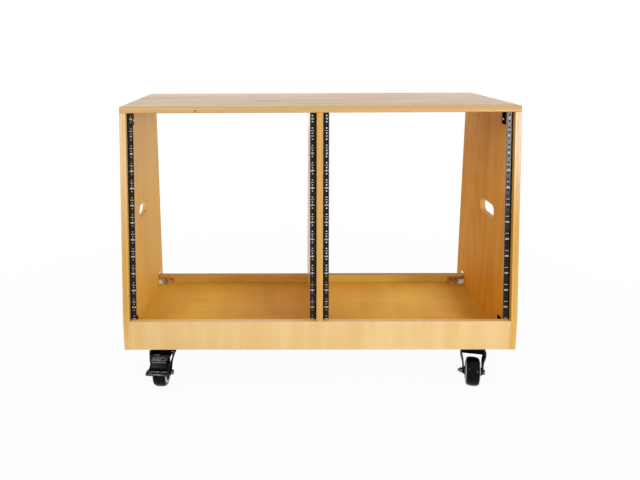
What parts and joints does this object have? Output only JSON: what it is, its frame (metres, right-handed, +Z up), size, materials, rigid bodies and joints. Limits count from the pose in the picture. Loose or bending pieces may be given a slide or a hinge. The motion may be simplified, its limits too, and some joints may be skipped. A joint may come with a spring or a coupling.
{
  "type": "studio rack stand",
  "caption": "Rolling studio rack stand: plywood case with side-by-side 19-inch bays, leaning front, black steel rack rails, hand slots, open back and swivel casters.",
  "frame": {"origin": "on the ground, at the centre of the footprint's box, midway between the caster pivots", "axes": "+X to the right of someone who faces the front, +Y to the open back, +Z up"},
  "size_m": [1.019, 0.5456, 0.7303],
  "materials": {
    "birch_plywood": "clear satin lacquer over birch face veneer",
    "rail_black": "black powder coat on folded steel",
    "bracket_zinc": "bright zinc plating on pressed steel",
    "screw_zinc": "zinc plating",
    "beech_dowel": "raw fluted beech",
    "caster_black": "black coating on pressed steel",
    "axle_zinc": "zinc plating",
    "tyre_rubber": "satin black rubber",
    "core_grey": "light grey moulded core"
  },
  "bodies": {
    "case": {"top_panel": "birch_plywood", "left_side_panel": "birch_plywood", "right_side_panel": "birch_plywood", "centre_divider": "birch_plywood", "floor_panel": "birch_plywood", "front_kickboard": "birch_plywood", "rear_lip": "birch_plywood", "left_bay_left_rail": "rail_black", "left_bay_right_rail": "rail_black", "right_bay_left_rail": "rail_black", "right_bay_right_rail": "rail_black", "rear_left_bracket": "bracket_zinc", "rear_right_bracket": "bracket_zinc", "front_left_bracket": "bracket_zinc", "front_right_bracket": "bracket_zinc", "top_left_bracket": "bracket_zinc", "top_right_bracket": "bracket_zinc", "rail_screws": "screw_zinc", "bracket_screws": "screw_zinc", "caster_screws": "screw_zinc", "panel_dowels": "beech_dowel", "front_left_caster_plate": "caster_black", "front_right_caster_plate": "caster_black", "rear_left_caster_plate": "caster_black", "rear_right_caster_plate": "caster_black", "front_left_kingpin": "axle_zinc", "front_right_kingpin": "axle_zinc", "rear_left_kingpin": "axle_zinc", "rear_right_kingpin": "axle_zinc"},
    "front_left_swivel": {"front_left_fork": "caster_black", "front_left_axle_bolt": "axle_zinc", "front_left_axle_nut": "axle_zinc", "front_left_axle_bush": "axle_zinc", "front_left_pedal_pin": "axle_zinc"},
    "front_left_wheel": {"front_left_tyre": "tyre_rubber", "front_left_wheel_core": "core_grey"},
    "front_left_pedal": {"front_left_brake_pedal": "caster_black"},
    "front_right_swivel": {"front_right_fork": "caster_black", "front_right_axle_bolt": "axle_zinc", "front_right_axle_nut": "axle_zinc", "front_right_axle_bush": "axle_zinc"},
    "front_right_wheel": {"front_right_tyre": "tyre_rubber", "front_right_wheel_core": "core_grey"},
    "rear_left_swivel": {"rear_left_fork": "caster_black", "rear_left_axle_bolt": "axle_zinc", "rear_left_axle_nut": "axle_zinc", "rear_left_axle_bush": "axle_zinc"},
    "rear_left_wheel": {"rear_left_tyre": "tyre_rubber", "rear_left_wheel_core": "core_grey"},
    "rear_right_swivel": {"rear_right_fork": "caster_black", "rear_right_axle_bolt": "axle_zinc", "rear_right_axle_nut": "axle_zinc", "rear_right_axle_bush": "axle_zinc", "rear_right_pedal_pin": "axle_zinc"},
    "rear_right_wheel": {"rear_right_tyre": "tyre_rubber", "rear_right_wheel_core": "core_grey"},
    "rear_right_pedal": {"rear_right_brake_pedal": "caster_black"}
  },
  "joints": [
    {"name": "front_left_swivel_turn", "type": "hinge", "parent": "case", "child": "front_left_swivel", "pos_m": [-0.4115, -0.186, 0.094], "axis": [0, 0, 1], "continuous": true},
    {"name": "front_left_wheel_roll", "type": "hinge", "parent": "front_left_swivel", "child": "front_left_wheel", "pos_m": [-0.41464, -0.22186, 0.0375], "axis": [0.9962, -0.0872, 0], "continuous": true},
    {"name": "front_left_pedal_tilt", "type": "hinge", "parent": "front_left_swivel", "child": "front_left_pedal", "pos_m": [-0.41342, -0.20791, 0.084], "axis": [0.9962, -0.0872, 0], "range_deg": [-12, 0]},
    {"name": "front_right_swivel_turn", "type": "hinge", "parent": "case", "child": "front_right_swivel", "pos_m": [0.4115, -0.186, 0.094], "axis": [0, 0, 1], "continuous": true},
    {"name": "front_right_wheel_roll", "type": "hinge", "parent": "front_right_swivel", "child": "front_right_wheel", "pos_m": [0.4034, -0.22108, 0.0375], "axis": [0.9744, -0.225, 0], "continuous": true},
    {"name": "rear_left_swivel_turn", "type": "hinge", "parent": "case", "child": "rear_left_swivel", "pos_m": [-0.4115, 0.186, 0.094], "axis": [0, 0, 1], "continuous": true},
    {"name": "rear_left_wheel_roll", "type": "hinge", "parent": "rear_left_swivel", "child": "rear_left_wheel", "pos_m": [-0.4115, 0.222, 0.0375], "axis": [-1, 0, 0], "continuous": true},
    {"name": "rear_right_swivel_turn", "type": "hinge", "parent": "case", "child": "rear_right_swivel", "pos_m": [0.4115, 0.186, 0.094], "axis": [0, 0, 1], "continuous": true},
    {"name": "rear_right_wheel_roll", "type": "hinge", "parent": "rear_right_swivel", "child": "rear_right_wheel", "pos_m": [0.41464, 0.22186, 0.0375], "axis": [-0.9962, 0.0872, 0], "continuous": true},
    {"name": "rear_right_pedal_tilt", "type": "hinge", "parent": "rear_right_swivel", "child": "rear_right_pedal", "pos_m": [0.41342, 0.20791, 0.084], "axis": [-0.9962, 0.0872, 0], "range_deg": [-12, 0]}
  ]
}
